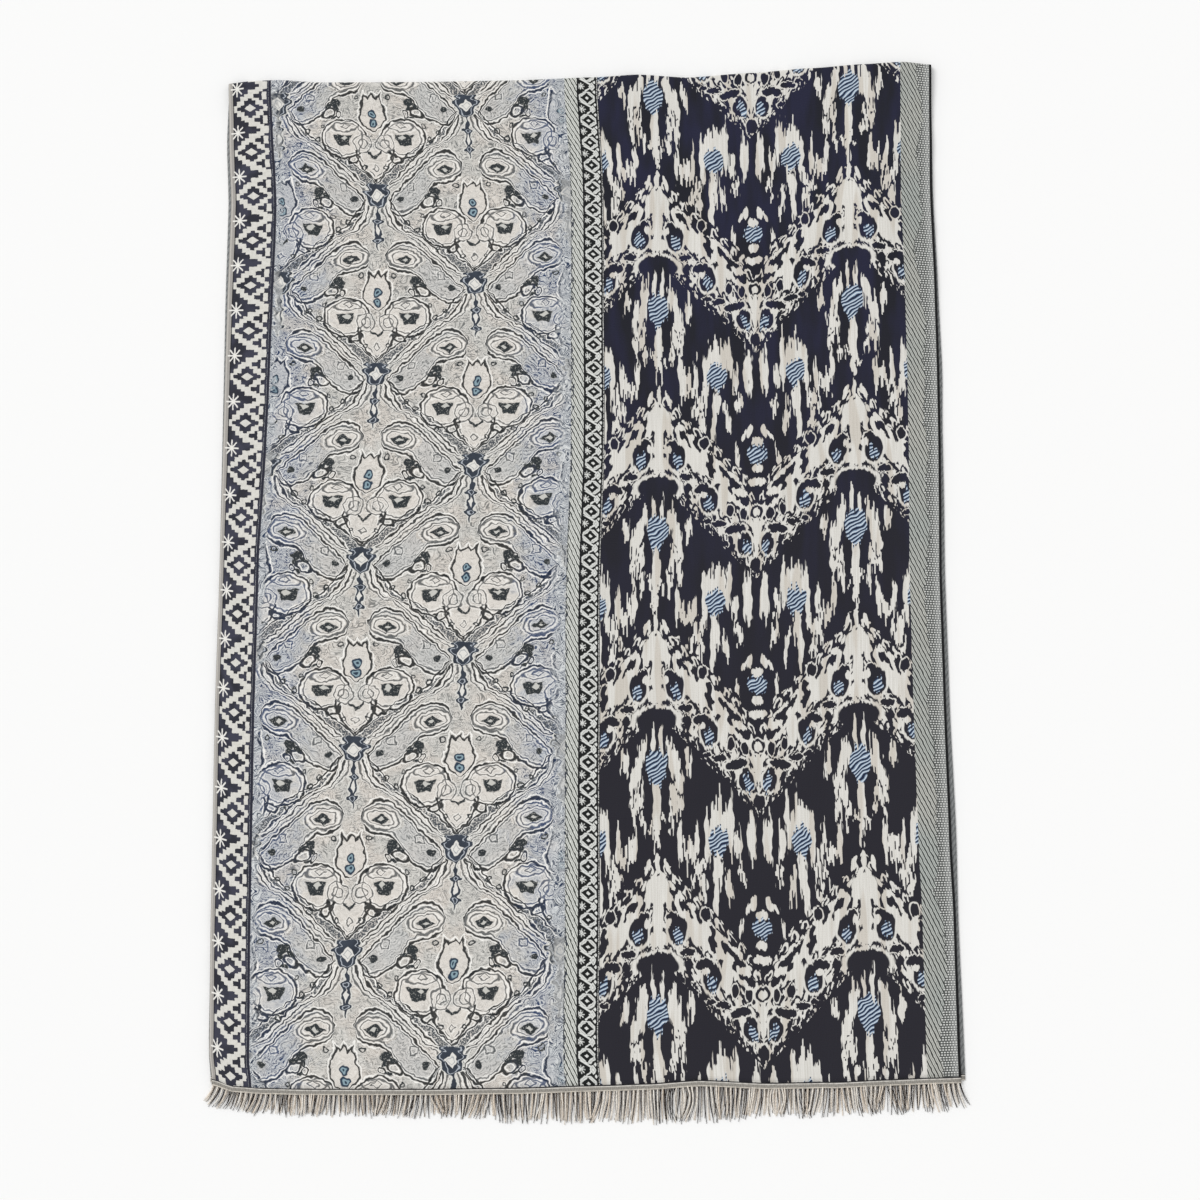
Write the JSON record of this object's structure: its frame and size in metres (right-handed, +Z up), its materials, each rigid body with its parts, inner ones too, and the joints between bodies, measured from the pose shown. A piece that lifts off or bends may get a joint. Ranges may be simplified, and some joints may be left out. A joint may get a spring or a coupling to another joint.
{
  "type": "scarf",
  "caption": "Wide woven shawl scarf, folded once and laid flat, with a fringed band at each open end.",
  "frame": {"origin": "on the surface it lies on, under the middle of the folded shawl's outline", "axes": "+Z up out of the cloth, +Y towards the fold, -Y towards the fringed ends, +X across the cloth towards the dark ikat-patterned half"},
  "size_m": [0.7184, 1.0354, 0.0063],
  "materials": {
    "jacquard_cloth": "matt jacquard weave in navy, cream and blue",
    "fringe_yarn": "matt twisted yarn in cream and dark brown"
  },
  "bodies": {
    "root": {"cloth": "jacquard_cloth", "fringe_upper": "fringe_yarn", "fringe_lower": "fringe_yarn"}
  },
  "joints": []
}
